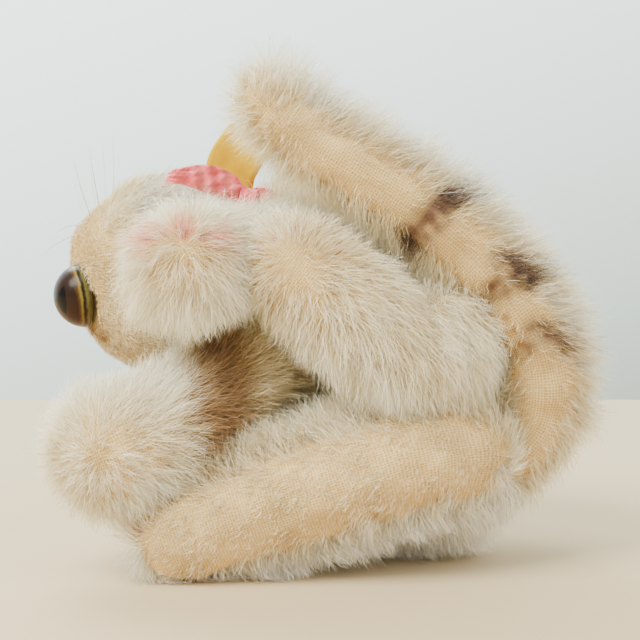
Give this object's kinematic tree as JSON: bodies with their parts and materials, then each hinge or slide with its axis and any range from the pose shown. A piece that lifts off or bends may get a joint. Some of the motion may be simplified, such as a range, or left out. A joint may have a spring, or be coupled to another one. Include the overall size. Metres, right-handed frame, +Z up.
{
  "type": "plush cat",
  "caption": "Small stuffed mohair cat lying on its side: sewn covers over packed stuffing, sewn-on legs and tail, glass eyes, neck ribbon, and a head that turns on a disc joint.",
  "frame": {"origin": "middle of the cat's footprint on the surface it lies on, as the middle of its box at the lowest height", "axes": "+Z up from that surface, -X the way the face points, -Y the side that the underside and paws face"},
  "size_m": [0.1053, 0.0698, 0.0938],
  "materials": {
    "long_mohair": "long cream mohair pile on a woven cotton backing, airbrushed with dark stripes, worn thin in places",
    "short_mohair": "short tan mohair pile",
    "ear_lining": "short pale pink-beige pile",
    "wood_wool": "fine shredded wood packed firm",
    "pink_thread": "worn pink cotton thread",
    "sewing_thread": "waxed linen thread",
    "satin_ribbon": "pink satin ribbon with a dull back",
    "label_cloth": "plain yellow woven cotton",
    "joint_card": "pressed fibre card",
    "steel_wire": "dull steel, slightly rusted",
    "eye_glass": "clear blown glass dome",
    "eye_enamel": "olive yellow glass backing that darkens to brown at the middle",
    "pupil_enamel": "black glass slit",
    "whisker_hair": "clear stiff filament"
  },
  "bodies": {
    "body": {"body_cover": "long_mohair", "body_stuffing": "wood_wool", "left_front_leg_cover": "long_mohair", "left_front_leg_stuffing": "wood_wool", "right_front_leg_cover": "long_mohair", "right_front_leg_stuffing": "wood_wool", "left_hind_leg_cover": "long_mohair", "left_hind_leg_stuffing": "wood_wool", "right_hind_leg_cover": "long_mohair", "right_hind_leg_stuffing": "wood_wool", "tail_cover": "long_mohair", "tail_stuffing": "wood_wool", "left_front_claws": "pink_thread", "right_front_claws": "pink_thread", "left_hind_claws": "pink_thread", "right_hind_claws": "pink_thread", "closing_seam": "sewing_thread", "neck_ribbon": "satin_ribbon", "ribbon_bow": "satin_ribbon", "neck_label": "label_cloth", "body_joint_disc": "joint_card", "body_joint_washer": "steel_wire", "cotter_pin": "steel_wire"},
    "head": {"head_cover": "short_mohair", "head_stuffing": "wood_wool", "left_ear_back": "short_mohair", "left_ear_lining": "ear_lining", "right_ear_back": "short_mohair", "right_ear_lining": "ear_lining", "left_eye_glass": "eye_glass", "left_eye_enamel": "eye_enamel", "left_eye_pupil": "pupil_enamel", "left_eye_shank": "steel_wire", "right_eye_glass": "eye_glass", "right_eye_enamel": "eye_enamel", "right_eye_pupil": "pupil_enamel", "right_eye_shank": "steel_wire", "nose_stitching": "pink_thread", "mouth_stitching": "pink_thread", "left_whiskers": "whisker_hair", "right_whiskers": "whisker_hair", "head_joint_disc": "joint_card", "head_joint_washer": "steel_wire"}
  },
  "joints": [
    {"name": "head_swivel", "type": "hinge", "parent": "body", "child": "head", "pos_m": [-0.0104, 0.0104, 0.0555], "axis": [-0.9786, 0.1897, -0.0799], "range_deg": [-110, 12]}
  ]
}
